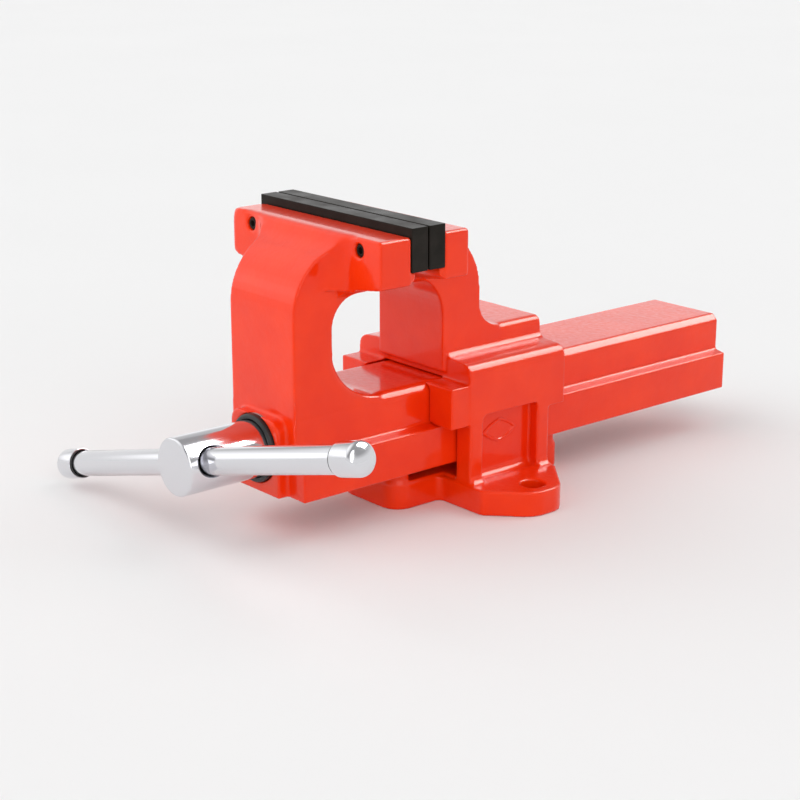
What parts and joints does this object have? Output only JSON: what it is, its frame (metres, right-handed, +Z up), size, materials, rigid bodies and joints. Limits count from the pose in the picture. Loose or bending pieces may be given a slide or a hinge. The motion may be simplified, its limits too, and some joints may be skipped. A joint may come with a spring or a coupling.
{
  "type": "bench vise",
  "caption": "Bench vise with a sliding hollow beam, serrated jaw plates, a screw spindle and a sliding tommy bar.",
  "frame": {"origin": "on the underside of the base, midway between the two lug holes", "axes": "+Z up, +Y from the handle end to the tail of the beam, +X to the operator's right"},
  "size_m": [0.3202, 0.4549, 0.1959],
  "materials": {
    "enamel_static": "glossy orange-red enamel over cast iron",
    "enamel_moving": "glossy orange-red enamel over cast iron",
    "jaw_plate_front": "black oxide hardened steel, serrated",
    "jaw_plate_rear": "black oxide hardened steel, serrated",
    "jaw_screws": "black oxide",
    "nut_bronze": "machined bronze",
    "nut_bolts": "black oxide",
    "washers": "plain steel",
    "seal_rubber": "black rubber",
    "spindle_chrome": "chromed head, oiled steel thread",
    "collar_steel": "turned steel",
    "handle_chrome": "polished chrome",
    "bumper_rubber": "black rubber"
  },
  "bodies": {
    "base": {"static_body": "enamel_static", "rear_jaw_plate": "jaw_plate_rear", "rear_jaw_screw_left": "jaw_screws", "rear_jaw_screw_right": "jaw_screws", "spindle_nut": "nut_bronze", "nut_bolt_front": "nut_bolts", "nut_bolt_rear": "nut_bolts", "nut_washer_front": "washers", "nut_washer_rear": "washers"},
    "slide": {"moving_jaw": "enamel_moving", "front_jaw_plate": "jaw_plate_front", "front_jaw_screw_left": "jaw_screws", "front_jaw_screw_right": "jaw_screws", "thrust_washer": "washers", "spindle_seal_ring": "seal_rubber"},
    "screw": {"spindle": "spindle_chrome", "spring_washer": "washers", "retaining_collar": "collar_steel", "collar_pin": "collar_steel"},
    "handle": {"handle_bar": "handle_chrome", "handle_cap_left": "handle_chrome", "handle_cap_right": "handle_chrome", "handle_ring_left": "bumper_rubber", "handle_ring_right": "bumper_rubber"}
  },
  "joints": [
    {"name": "jaw_slide", "type": "slide", "parent": "base", "child": "slide", "axis": [0, -1, 0], "range_m": [0, 0.16]},
    {"name": "spindle_turn", "type": "hinge", "parent": "slide", "child": "screw", "pos_m": [0, -0.16, 0.0558], "axis": [0, -1, 0], "range_deg": [0, 11520]},
    {"name": "handle_slide", "type": "slide", "parent": "screw", "child": "handle", "axis": [0.9659, 0, 0.2588], "range_m": [-0.122, 0.122]}
  ],
  "couplings": [
    {"joint": "jaw_slide", "follows": "spindle_turn", "m_per_rad": 0.00079577}
  ]
}
